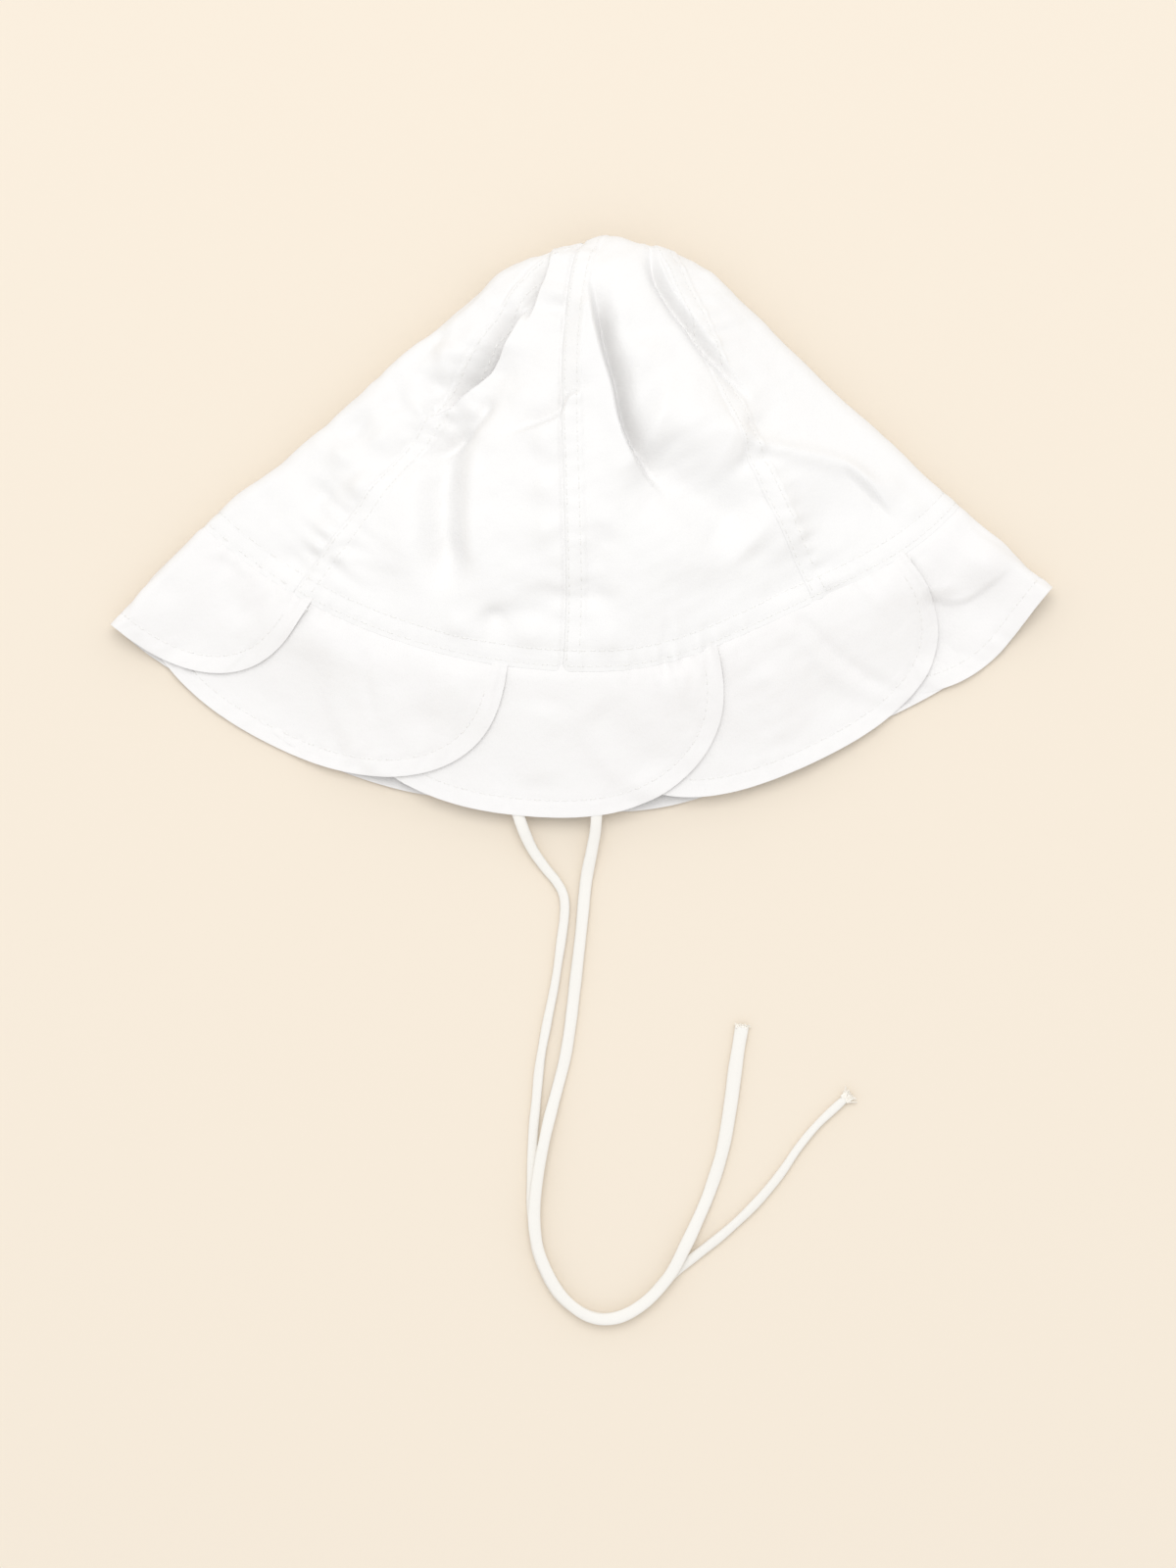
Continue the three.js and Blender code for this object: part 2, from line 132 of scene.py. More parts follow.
# Creases of the upper layer, where one side stands over the other: places, height
# and half width of the standing side, depth and half width of the low side, and the standing side,
# 1 for right of the way down the list and -1 for left of it
CREASES = [
    ([(600, 286), (604, 310), (608, 335), (615, 365), (625, 398), (632, 432), (643, 462), (660, 490), (684, 516)],
     2.0, 7.0, 9.5, 4.2, 1),
    ([(566, 256), (556, 286), (546, 312), (537, 336)], 1.1, 4.0, 5.0, 3.0, -1),
    ([(538, 312), (527, 335), (513, 360), (494, 384), (464, 408), (430, 432)], 1.6, 5.0, 9.0, 5.0, -1),
    ([(664, 244), (670, 276), (686, 308), (708, 340), (734, 374), (774, 424)], 0.8, 5.0, 5.4, 2.9, -1),
    ([(846, 470), (872, 492), (892, 510), (912, 534)], 0.8, 4.0, 2.0, 2.6, -1),
    ([(505, 454), (545, 441), (570, 430), (582, 410), (610, 400)], 1.3, 5.0, 2.6, 4.0, 1),
]
PETAL_CREASES = [
    ([(944, 600), (960, 613), (984, 614), (1008, 598), (1040, 574)], 0.8, 6.0, 0.6, 6.0, -1),
]

# Dents and bumps of the gathered cotton: right, down, half width, height
DIMPLES = [
    (395, 450, 4.4, 3.4), (371, 500, 4.0, 3.0), (328, 506, 4.2, -3.0), (404, 412, 3.4, -2.8),
    (441, 393, 3.4, -2.8), (338, 548, 5.0, 2.2), (300, 575, 5.0, -2.0), (504, 633, 3.2, -2.4),
    (457, 365, 4.2, 2.2), (268, 505, 3.5, -1.6), (558, 462, 3.8, 1.4), (558, 505, 3.8, 1.4),
    (557, 545, 3.6, 1.3), (420, 355, 3.4, -1.8), (362, 440, 4.0, -2.2), (430, 430, 3.0, 1.6),
    (352, 470, 3.2, 1.8), (660, 372, 5.0, 1.2), (648, 345, 4.0, -1.2), (700, 340, 4.5, 1.0),
    (690, 560, 9.0, 1.0), (655, 520, 6.0, -1.2), (730, 600, 6.0, -1.0), (420, 560, 8.0, 1.2),
    (392, 600, 6.0, -1.2), (842, 525, 8.0, -1.8), (470, 640, 4.0, 1.2), (540, 648, 4.0, 1.2),
    (590, 640, 4.0, -1.2), (620, 655, 4.0, 1.0), (820, 585, 5.0, -1.0), (905, 500, 5.0, 1.6),
    (930, 520, 4.0, 1.2),
]
PETAL_DIMPLES = [
    (1002, 576, 6.0, 3.4), (330, 650, 6.0, 1.2), (470, 700, 7.0, 1.2),
    (430, 735, 5.0, -1.0), (690, 700, 6.5, 1.4), (900, 610, 6.0, 1.2), (930, 560, 4.0, -1.0),
    (170, 600, 5.0, -1.2),
]


def ease(start, stop, value):
    """Smooth step from 0 at the start to 1 at the stop."""
    share = np.clip((value - start) / (stop - start), 0, 1)
    return share * share * (3 - 2 * share)


def bell(value):
    """1 at 0, and falling smoothly away on both sides of it."""
    return np.exp(-value ** 2)


def loop_value(column, down):
    """Value of a column of the loops, on a smooth line through its rows."""
    places, values = LOOPS[:, 0], LOOPS[:, column]
    last = len(places) - 1
    before, after = np.maximum(np.arange(last + 1) - 1, 0), np.minimum(np.arange(last + 1) + 1, last)
    slopes = (values[after] - values[before]) / (places[after] - places[before])
    row = np.clip(np.searchsorted(places, down, side="left") - 1, 0, last - 1)
    width = places[row + 1] - places[row]
    t = (down - places[row]) / width
    curve = ((2 * t**3 - 3 * t**2 + 1) * values[row] + (t**3 - 2 * t**2 + t) * width * slopes[row]
             + (3 * t**2 - 2 * t**3) * values[row + 1] + (t**3 - t**2) * width * slopes[row + 1])
    return np.where(t > 1, values[last] + slopes[last] * (down - places[last]), curve)


def across_at(turn):
    """Where a turn lies across the hat, eased at the side folds."""
    wrapped = turn - np.floor(turn)
    straight = np.where(wrapped < 0.5, wrapped * 4 - 1, 3 - wrapped * 4)
    left = 1 - np.abs(straight)
    eased = np.where(left < FOLD_BLEND, left * left / (2 * FOLD_BLEND), left - FOLD_BLEND / 2)
    return np.sign(straight) * (1 - eased / (1 - FOLD_BLEND / 2))


def smooth_point(turn, down):
    """Point of the hat's outer face before its folds."""
    turn, down = np.broadcast_arrays(np.asarray(turn, float), np.asarray(down, float))
    upper = turn - np.floor(turn) < 0.5
    across = across_at(turn)
    curved = ease(0.05, 0.5, down)
    fan_x = np.sin(FAN_ANGLE * across) / math.sin(FAN_ANGLE)
    fan_y = (np.cos(FAN_ANGLE * across) - math.cos(FAN_ANGLE)) / (1 - math.cos(FAN_ANGLE))
    sideways = across + (fan_x - across) * curved
    bow = 1 - across**2 + (fan_y - 1 + across**2) * curved
    reach = HALF_WIDTH * np.where(across < 0, loop_value(LEFT, down), loop_value(RIGHT, down))
    ends = CROWN_DROP * loop_value(ENDS, down)
    middle = CROWN_DROP * np.where(upper, loop_value(UPPER, down), loop_value(LOWER, down))
    x = reach * sideways
    sag = np.where(across > 0, RIGHT_SAG * CROWN_DROP * np.sin(math.pi * across) ** 2 * ease(0.5, 1, down), 0)
    y = -ends - (middle - ends) * bow + LIE_TILT * x + sag
    side = PUFF_HEIGHT * loop_value(END_HEIGHT, down)
    top = PUFF_HEIGHT * loop_value(UPPER_HEIGHT, down)
    inward = (1 - np.abs(across)) * reach
    low = side - np.sqrt(np.maximum(0, side**2 - np.maximum(0, side - inward) ** 2))
    nose = np.clip(top - side, 0, EDGE_RADIUS)
    rise = np.sqrt(np.maximum(0, nose**2 - np.maximum(0, nose - inward) ** 2))
    dome = np.maximum(0, top - side - nose) * np.maximum(0, 1 - across**2) ** 1.2
    return np.stack([x, y, np.where(upper, side + rise + dome, low)], -1) + MIDDLE


def slopes_at(turn, down, small=1e-4):
    """Point of the smooth hat, and how it moves for one unit of turn and of down."""
    here = smooth_point(turn, down)
    around = (smooth_point(turn + small, down) - here) / small
    along = (smooth_point(turn, down + small) - here) / small
    return here, around, along


def length_of(rows):
    """Lengths of the vectors in the last axis."""
    return np.linalg.norm(rows, axis=-1)


def waves(points, size, seed, count=18):
    """Smooth random field of about -1 to 1, with bumps of the given size."""
    dice = np.random.default_rng(seed)
    total = np.zeros(points.shape[:-1])
    for _ in range(count):
        heading = dice.normal(size=3)
        heading *= 2 * math.pi / (2.2 * size) * dice.uniform(0.6, 1.5) / np.linalg.norm(heading)
        total += np.cos(points @ heading + dice.uniform(0, 2 * math.pi))
    return total / math.sqrt(count)


def ripples(run, off, pitch, seed, count=9):
    """Uneven wrinkles of about -1 to 1 along a seam, which fan out a little away from it."""
    dice = np.random.default_rng(seed)
    total = run * 0
    for _ in range(count):
        rate = 2 * math.pi / (pitch * dice.uniform(0.7, 1.8))
        total = total + np.cos(rate * (run + dice.normal(0, 0.22) * off) + dice.uniform(0, 2 * math.pi))
    return total / math.sqrt(count / 1.4)


def smooth_line(points, steps=10):
    """Points of a smooth line through the given ones."""
    points = np.asarray(points, float)
    padded = np.vstack([2 * points[0] - points[1], points, 2 * points[-1] - points[-2]])
    line = []
    for index in range(1, len(padded) - 2):
        a, b, c, d = padded[index - 1:index + 3]
        t = np.arange(steps)[:, None] / steps
        line.append(0.5 * (2 * b + (c - a) * t + (2 * a - 5 * b + 4 * c - d) * t**2
                           + (3 * b - a - 3 * c + d) * t**3))
    return np.vstack([*line, points[-1:]])


def floor_place(pixels):
    """Millimetres on the floor of places in the picture."""
    return (np.array(pixels, float) - CORNER_PIXEL) * [PIXEL, -PIXEL] + MIDDLE[:2]


def line_places(flat, places):
    """Signed distance from a line on the upper layer, right of it positive, and share along it."""
    line = smooth_line(floor_place(places))
    best = np.full(flat.shape[:-1], 1e9)
    signed, share = np.zeros_like(best), np.zeros_like(best)
    count = len(line) - 1
    for index in range(count):
        start, step = line[index], line[index + 1] - line[index]
        to_point = flat - start
        t = np.clip(to_point @ step / (step @ step), 0, 1)
        distance = length_of(to_point - t[..., None] * step)
        nearer = distance < best
        side = np.sign(to_point[..., 1] * step[0] - to_point[..., 0] * step[1])
        best = np.where(nearer, distance, best)
        signed = np.where(nearer, -side * distance, signed)
        share = np.where(nearer, (index + t) / count, share)
    return signed, share


def dimple_height(here, dimples):
    """Height of the dents and bumps at points of the upper layer."""
    total = np.zeros(here.shape[:-1])
    for right, down, width, height in dimples:
        total += height * bell(length_of(here[..., :2] - floor_place((right, down))) / width)
    return total


def fold_height(here, soft_folds, creases, dimples):
    """Height of the folds, creases and dimples at points of the upper layer."""
    flat = here[..., :2]
    total = dimple_height(here, dimples)
    for places, width, height in soft_folds:
        distance, share = line_places(flat, places)
        fade = ease(0, 0.22, share) * ease(1, 0.78, share)
        total += height * fade * bell(distance / width)
    for places, stand, stand_width, dip, dip_width, side in creases:
        distance, share = line_places(flat, places)
        distance = distance * side
        fade = ease(0, 0.3, share) * ease(1, 0.7, share)
        standing = stand * bell(np.maximum(distance, 0) / stand_width)
        low = -dip * bell(np.maximum(-distance, 0) / dip_width)
        total += fade * (low + (standing - low) * ease(-1.0, 0.9, distance))
    return total


def seam_turn(seam, down):
    """Turn at which a crown seam lies."""
    shift, drift = SEAMS[seam % PANEL_COUNT]
    return FIRST_SEAM + seam / PANEL_COUNT + shift + drift * (1 - down) ** 2


DOWNS = np.linspace(0, 1.4, 600)
TURNS = np.linspace(-0.25, 1.5, 3000)
BRIM_LENGTHS = np.append(0, np.cumsum(length_of(np.diff(smooth_point(TURNS, 1.0), axis=0))))


def seam_length(seam, down):
    """Millimetres along a seam from the crown's tip."""
    line = smooth_point(seam_turn(seam, DOWNS), DOWNS)
    lengths = np.append(0, np.cumsum(length_of(np.diff(line, axis=0))))
    return np.interp(down, DOWNS, lengths)


def seam_distance(seam, turn, down, around, along):
    """Millimetres square to a seam, positive on the side of higher turns."""
    apart = (turn - seam_turn(seam, down) + 0.5) % 1 - 0.5
    return apart * length_of(np.cross(around, along)) / np.maximum(length_of(along), 1e-6)


def brim_gather(turn, off):
    """Uneven gathers along the brim seam, the same for the crown and the brim."""
    run = np.interp(turn, TURNS, BRIM_LENGTHS)
    return ripples(run, off, 5.2, 80)


def crumple_height(here):
    """Height of the cotton's own soft lumps, the same for the crown and the brim."""
    strength = np.clip(1 + 0.7 * waves(here, 40, 6), 0.3, 2)
    return 0.42 * waves(here, 17, 3) + strength * (0.26 * waves(here, 8, 4) + 0.07 * waves(here, 3.2, 5))


def crown_height(turn, down, here, around, along):
    """Height of all that shapes the crown's cotton: folds, felled seams, gathers and crumples."""
    upper = turn - np.floor(turn) < 0.5
    beside = ease(0, 0.1, 1 - np.abs(across_at(turn)))
    total = np.where(upper, fold_height(here, SOFT_FOLDS, CREASES, DIMPLES), 0) * beside
    total = total * ease(0.06, 0.16, down) * ease(1.0, 0.95, down)
    for seam in range(PANEL_COUNT):
        distance = seam_distance(seam, turn, down, around, along)
        run = seam_length(seam, down)
        left, right, ditch, lift = SEAM_LOOKS[seam]
        felled = ease(-0.35, 0.35, distance) * ease(FELL_WIDTH + 0.9, FELL_WIDTH, distance) * ease(1.01, 0.97, down)
        total += lift * felled - ditch * bell((distance + 0.3) / 0.7)
        total -= 0.15 * bell((distance - SEAM_STITCHES[0]) / 0.7) + 0.1 * bell((distance - SEAM_STITCHES[1]) / 0.7)
        strength = np.clip(0.6 + 0.6 * waves(here, 20, 60 + seam), 0, 1.6) * ease(0.08, 0.25, down)
        reach_left = np.exp(-np.maximum(-distance, 0) / 6.5) * ease(0.8, -2.0, distance)
        reach_right = np.exp(-np.maximum(distance - FELL_WIDTH, 0) / 5.5) * ease(2.0, FELL_WIDTH, distance)
        total += strength * left * reach_left * ripples(run, distance, 6.6, 40 + seam)
        total += strength * right * reach_right * ripples(run, distance, 6.6, 50 + seam)
        total += 0.1 * felled * ripples(run, distance, 5.0, 70 + seam)
    above = (1 - down) * length_of(along)
    strength = np.clip(0.6 + 0.6 * waves(here, 24, 81), 0.1, 1.6)
    total += BRIM_GATHER * strength * brim_gather(turn, above) * np.exp(-above / 6.5)
    total -= SEAM_DIP * bell(above / SEAM_DIP_WIDTH)
    total -= 0.16 * bell((above - EDGE_STITCHES[0]) / 0.6) + 0.15 * bell((above - EDGE_STITCHES[1]) / 0.7)
    return total + ease(0.02, 0.2, down) * crumple_height(here)


def outward_of(around, along):
    """Direction square to the cloth, away from the hat's inside."""
    square = np.cross(along, around)
    return square / np.maximum(length_of(square), 1e-9)[..., None]


def laid(here, outward, height):
    """Points moved outwards by a height, with neither face of the cloth below the floor."""
    x, y, z = np.moveaxis(here + outward * height[..., None], -1, 0)
    return np.stack([x, y, np.maximum(z, PETAL_CLOTH * np.maximum(outward[..., 2], 0))], -1)


def crown_point(turn, down):
    """Point of the crown's outer face."""
    here, around, along = slopes_at(turn, down)
    return laid(here, outward_of(around, along), crown_height(turn, down, here, around, along))


def petal_hem(petal, side):
    """Length of a petal from the brim seam to its hem, in millimetres."""
    rounded = np.maximum(1 - np.abs(side) ** PETAL_ROUNDNESS, 0) ** (1 / PETAL_ROUNDNESS)
    _, share, slant = PETALS[petal % PETAL_COUNT]
    hem = BRIM_DEPTH * (share + slant * side) * (HEM_ROOT + (1 - HEM_ROOT) * rounded)
    bent, place, width, depth = BENT_HEM
    return hem - (depth * bell((side - place) / width) if petal % PETAL_COUNT == bent else 0)


def petal_middle(petal):
    """Turn of a petal's middle."""
    return FIRST_PETAL + petal / PETAL_COUNT + PETALS[petal % PETAL_COUNT][0]


def inside_petal(petal, turn, length):
    """Millimetres inside a petal's rounded edge, negative outside it."""
    middle = petal_middle(petal)
    sides = -np.cos(np.linspace(0, math.pi, 120))
    outline = np.stack([middle + sides * PETAL_HALF_SPAN, petal_hem(petal, sides)], -1)
    outline = np.vstack([[outline[0, 0], -30], outline, [outline[-1, 0], -30]])
    scaled = outline * [TURN_LENGTH, 1]
    spots = np.stack([turn * TURN_LENGTH, length], -1)
    best = np.full(turn.shape, 1e9)
    for start, stop in zip(scaled[:-1], scaled[1:]):
        step = stop - start
        t = np.clip((spots - start) @ step / (step @ step), 0, 1)
        best = np.minimum(best, length_of(spots - start - t[..., None] * step))
    side = (turn - middle) / PETAL_HALF_SPAN
    inside = (np.abs(side) < 1) & (length < petal_hem(petal, np.clip(side, -1, 1)))
    return np.where(inside, best, -best)


def petal_point(petal, turn, length):
    """Point of a petal's outer face, a length in millimetres beyond the brim seam."""
    down = 1 + length / BRIM_REACH
    here, around, along = slopes_at(turn, down)
    over = ease(-5.0, 0.2, inside_petal(petal + 1, turn, length))
    under = ease(-2.4, -0.2, inside_petal(petal - 1, turn, length))
    from_hem = inside_petal(petal, turn, length)
    side = (turn - petal_middle(petal)) / PETAL_HALF_SPAN
    beside = ease(0, 0.15, 1 - np.abs(across_at(turn)))
    upper = turn - np.floor(turn) < 0.5
    height = -PETAL_STEP * (under * ease(-2, 9, length) + (1 - under) * (1 - over) * ease(1.5, 12, length))
    height -= SEAM_DIP * (bell(np.maximum(length, 0) / SEAM_DIP_WIDTH) + ease(0.0, -0.8, length))
    folds = fold_height(here, PETAL_SOFT_FOLDS, PETAL_CREASES, PETAL_DIMPLES)
    droop = np.clip(here[..., 2] - 2.5, 0, PETAL_DROOP + 2.2 * ease(0.36, 0.6, np.abs(across_at(turn))))
    height += np.where(upper, folds * ease(0, 5, length) - droop * beside * ease(3, 42, length), 0)
    height += PETAL_CURL * bell(from_hem / 3.5) * ease(0.15, 0.6, side) * over
    strength = np.clip(0.6 + 0.6 * waves(here, 24, 81), 0.1, 1.6)
    gathers = BRIM_GATHER * strength * brim_gather(turn, length) * np.exp(-np.maximum(length, 0) / 7.0)
    height += (crumple_height(here) + gathers) * np.where(upper, 1, 0.4)
    run = np.interp(turn, TURNS, BRIM_LENGTHS)
    height -= 0.14 * bell((from_hem - HEM_STITCHES) / 0.8)
    height += 0.18 * ripples(run, from_hem, 4.6, 90 + petal) * bell((from_hem - 3.5) / 3.5)
    return laid(here, outward_of(around, along), height)


def linear(value):
    """Linear share of one sRGB value from 0 to 255."""
    value /= 255
    return value / 12.92 if value <= 0.04045 else ((value + 0.055) / 1.055) ** 2.4


def colour(code):
    """Linear colour of an sRGB hex value."""
    return [linear(int(code[at:at + 2], 16)) for at in (0, 2, 4)] + [1]


def add_node(tree, kind, settings=None, **links):
    """One node, with its settings, and links or values for its inputs by name."""
    node = tree.nodes.new(kind)
    for name, value in (settings or {}).items():
        setattr(node, name, value)
    for name, value in links.items():
        socket = node.inputs[int(name[1:])] if name[1:].isdigit() else node.inputs[name.replace("_", " ")]
        if isinstance(value, bpy.types.NodeSocket):
            tree.links.new(value, socket)
        else:
            socket.default_value = value
    return node


def woven_cotton(name, base, shade, thread, crinkle):
    """Washed plain-weave cotton: matt and soft, with fine crossing threads and a dry crinkle."""
    material = bpy.data.materials.new(name)
    material.use_nodes = True
    tree = material.node_tree
    tree.nodes.clear()
    cloth = add_node(tree, "ShaderNodeUVMap", {"uv_map": "Cloth"}).outputs["UV"]
    spot = add_node(tree, "ShaderNodeTexCoord").outputs["Object"]
    wave_scale = 2 * math.pi / (20 * thread * MM)
    warp = add_node(tree, "ShaderNodeTexWave", {"bands_direction": "X"}, Vector=cloth, Scale=wave_scale,
                    Distortion=1.2, Detail=1.0)
    weft = add_node(tree, "ShaderNodeTexWave", {"bands_direction": "Y"}, Vector=cloth, Scale=wave_scale,
                    Distortion=1.2, Detail=1.0)
    weave = add_node(tree, "ShaderNodeMath", {"operation": "MAXIMUM"}, _0=warp.outputs["Fac"],
                     _1=weft.outputs["Fac"])
    slub = add_node(tree, "ShaderNodeTexNoise", Vector=spot, Scale=1 / (1.1 * MM), Detail=3.0, Roughness=0.6)
    dry = add_node(tree, "ShaderNodeTexNoise", Vector=spot, Scale=1 / (3.6 * MM), Detail=4.0, Roughness=0.55)
    weave_bump = add_node(tree, "ShaderNodeBump", Strength=0.22, Distance=0.08 * MM, Height=weave.outputs[0])
    slub_bump = add_node(tree, "ShaderNodeBump", Strength=0.35, Distance=0.16 * MM, Height=slub.outputs["Fac"],
                         Normal=weave_bump.outputs["Normal"])
    dry_bump = add_node(tree, "ShaderNodeBump", Strength=crinkle, Distance=0.6 * MM, Height=dry.outputs["Fac"],
                        Normal=slub_bump.outputs["Normal"])
    cloud = add_node(tree, "ShaderNodeTexNoise", Vector=spot, Scale=1 / (38 * MM), Detail=3.0)
    tint = add_node(tree, "ShaderNodeMix", {"data_type": "RGBA"}, Factor=cloud.outputs["Fac"])
    tint.inputs[6].default_value, tint.inputs[7].default_value = colour(base), colour(shade)
    cotton = add_node(tree, "ShaderNodeBsdfPrincipled", Base_Color=tint.outputs[2], Roughness=0.92,
                      Normal=dry_bump.outputs["Normal"])
    cotton.inputs["IOR"].default_value = 1.45
    cotton.inputs["Specular IOR Level"].default_value = 0.25
    cotton.inputs["Sheen Weight"].default_value = 0.12
    cotton.inputs["Sheen Roughness"].default_value = 0.6
    add_node(tree, "ShaderNodeOutputMaterial", Surface=cotton.outputs["BSDF"])
    return material


def plain_material(name, base, roughness):
    """Material of one colour with a fine grain."""
    material = bpy.data.materials.new(name)
    material.use_nodes = True
    tree = material.node_tree
    tree.nodes.clear()
    spot = add_node(tree, "ShaderNodeTexCoord").outputs["Object"]
    grain = add_node(tree, "ShaderNodeTexNoise", Vector=spot, Scale=1 / (0.9 * MM), Detail=2.0)
    bump = add_node(tree, "ShaderNodeBump", Strength=0.15, Distance=0.05 * MM, Height=grain.outputs["Fac"])
    shader = add_node(tree, "ShaderNodeBsdfPrincipled", Base_Color=colour(base), Roughness=roughness,
                      Normal=bump.outputs["Normal"])
    add_node(tree, "ShaderNodeOutputMaterial", Surface=shader.outputs["BSDF"])
    return material


def add_object(name, shape, material, smooth=True):
    """Object at the origin from a bmesh."""
    mesh = bpy.data.meshes.new(name)
    shape.to_mesh(mesh)
    shape.free()
    mesh.materials.append(material)
    mesh.polygons.foreach_set("use_smooth", [smooth] * len(mesh.polygons))
    piece = bpy.data.objects.new(name, mesh)
    bpy.context.scene.collection.objects.link(piece)
    return piece


def shaped_grid(name, columns, rows, place, size, material):
    """Grid of cotton whose shares along and down are placed by a function, in millimetres.
    Its own UV map holds its flat size in metres."""
    shape = bmesh.new()
    bmesh.ops.create_grid(shape, x_segments=columns, y_segments=rows, size=0.5)
    spots = np.array([vertex.co[:2] for vertex in shape.verts])
    along, down = spots[:, 0] + 0.5, 0.5 - spots[:, 1]
    cloth = shape.loops.layers.uv.new("Cloth")
    for face in shape.faces:
        for loop in face.loops:
            loop[cloth].uv = ((loop.vert.co.x + 0.5) * size[0] * MM, (0.5 - loop.vert.co.y) * size[1] * MM)
    for vertex, point in zip(shape.verts, place(along, down) * MM):
        vertex.co = point
    return add_object(name, shape, material)


def thicken(piece, thickness, rounding):
    """Gives cloth its thickness, inwards, and rounds its cut edges."""
    wall = piece.modifiers.new("Wall", "SOLIDIFY")
    wall.thickness, wall.offset, wall.use_even_offset = thickness * MM, -1, False
    if rounding:
        edge = piece.modifiers.new("Edge", "BEVEL")
        edge.width, edge.segments, edge.limit_method = rounding * MM, 2, "ANGLE"
        edge.angle_limit = math.radians(50)


def finish_piece(piece, slot, *nodes):
    """Ties a piece to the hat's one body and hides the solids that it stands for. Its slot is not used."""
    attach(piece, "root")
    if nodes:
        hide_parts(*nodes)


# The camera looks straight down, its long side along y.
SENSOR, PICTURE_HEIGHT = 36, 1600  # millimetres and pixels
VIEW_HEIGHT, VIEW_MIDDLE = 1.52, (1.06, -73.75)  # metres above the floor; the picture's middle, in millimetres
camera_data = bpy.data.cameras.new("overhead_camera")
camera_data.sensor_fit, camera_data.sensor_height, camera_data.sensor_width = "VERTICAL", SENSOR, SENSOR * 0.75
camera_data.lens = SENSOR * VIEW_HEIGHT / (PICTURE_HEIGHT * PIXEL * MM)
camera_data.clip_start, camera_data.clip_end = 0.05, 20
camera = bpy.data.objects.new("overhead_camera", camera_data)
camera.location = (VIEW_MIDDLE[0] * MM, VIEW_MIDDLE[1] * MM, VIEW_HEIGHT)
bpy.context.scene.collection.objects.link(camera)
bpy.context.scene.camera = camera

# The crown is thin cotton lawn, plain woven and washed: matt, white, hardly sheeny, with a dry crinkle.
# The brim is the same cloth, doubled, so it lies flatter and shows less of the crinkle.
# The ties are a folded strip of it, a touch creamier where the cloth is three deep.
# The weave's threads are drawn about twice too coarse, so that they show at all.
crown_cotton = woven_cotton("washed_white_cotton_lawn", "eeedec", "eae9e8", 0.55, 0.35)
brim_cotton = woven_cotton("washed_white_cotton_brim", "eeedec", "eae8e7", 0.55, 0.3)
tie_cotton = woven_cotton("folded_cotton_tie", "edebe6", "e9e6e0", 0.6, 0.3)
# Sewing thread is tightly spun cotton, a little smoother and harder than the cloth, so it catches light.
# Loose threads are untwisted, scatter all light and look dull and warm. Their colour is painted lighter than the
# tie's cloth, a painted light that lifts the shade among the tangled threads.
stitch_thread = plain_material("white_sewing_thread", "ecebe8", 0.6)
lightened_fray_thread = plain_material("loose_threads_painted_lighter", "f6f2ea", 1.0)

# Routes of the ties, from inside the brim seam to the cut end, in millimetres as the solids have them.
LOWER_TIE_ROUTE = [
    (-34.2, -117.4, 2.4), (-33.1, -121.4, 3.75), (-32.2, -126, 4.2), (-29.6, -147.3, 4.2),
    (-27.1, -163, 4.2), (-24.8, -171, 4.1), (-21.9, -177.6, 2.4), (-18.2, -183, 1.2), (-14.8, -187.2, 1.05),
    (-12.8, -191.2, 1.05), (-12.5, -196.4, 1.05), (-13.7, -205.8, 1.05), (-15.4, -217.2, 1.05),
    (-17.7, -228.6, 1.05), (-19.7, -240, 1.05), (-20.8, -251.4, 1.05), (-21.7, -261.3, 1.05),
    (-21.9, -272.7, 1.05), (-21.7, -284.1, 1.05), (-19.9, -295.8, 1.05), (-14.2, -306.9, 1.05),
    (-5.7, -313.2, 1.05), (2.3, -313.8, 1.05), (10.5, -309.5, 1.05), (18.8, -301, 1.05),
    (25.6, -295.8, 1.05), (34.2, -289, 1.05), (42.7, -281, 1.05), (49.9, -272.5, 1.05),
    (55.6, -264.2, 1.05), (61.3, -257.4, 1.05), (69, -250.2, 1.05),
]

UPPER_TIE_ROUTE = [
    (-2.3, -120.3, 17.25), (-2.6, -127.4, 13.9), (-2.8, -138.8, 11.1), (-2.8, -147.3, 9.1),
    (-3.1, -158.7, 6.4), (-3.4, -170.7, 4.6), (-4.6, -178.1, 2.8), (-6.3, -187.2, 1.2),
    (-7.7, -201.5, 1.05), (-9.3, -215.7, 1.05), (-10.8, -228.6, 1.05), (-12.3, -238, 1.05),
    (-14.2, -245.7, 1.3), (-17.2, -257.1, 2.95), (-19.6, -268.5, 3.15), (-21.1, -279.9, 3.15),
    (-21.1, -288.4, 3.15), (-19.1, -297, 3.15), (-13.7, -306.9, 3.15), (-5.7, -313.2, 3.15),
    (2.3, -313.8, 3.15), (10.5, -309.5, 3.15), (17.7, -301.8, 3.15), (22.5, -293, 3.15), (26.2, -285.3, 2),
    (29.6, -277.3, 1.05), (33.3, -265.6, 1.05), (35.6, -252.8, 1.05), (37.3, -240, 1.05),
    (39, -229.4, 1.05),
]
TIE_WIDTH, TIE_THICKNESS, TIE_SIDES, TIE_SQUARENESS = 3.4, 1.8, 20, 2.8
TIE_STITCH_INSET, TIE_STITCH_PITCH = 0.75, 2.4
# Width along each tie, which is narrower where it lies on its edge: share of its length, width
LOWER_TIE_WIDTHS = [(0, 2.8), (0.19, 3.3), (0.25, 2.7), (0.4, 2.5), (0.52, 3.2), (0.7, 3.4), (0.82, 2.9),
                    (1, 2.3)]
UPPER_TIE_WIDTHS = [(0, 3.4), (0.75, 3.4), (0.9, 3.9), (1, 4.1)]


def running_length(line):
    """Length along a line up to each of its points."""
    return np.append(0, np.cumsum(length_of(np.diff(line, axis=0))))


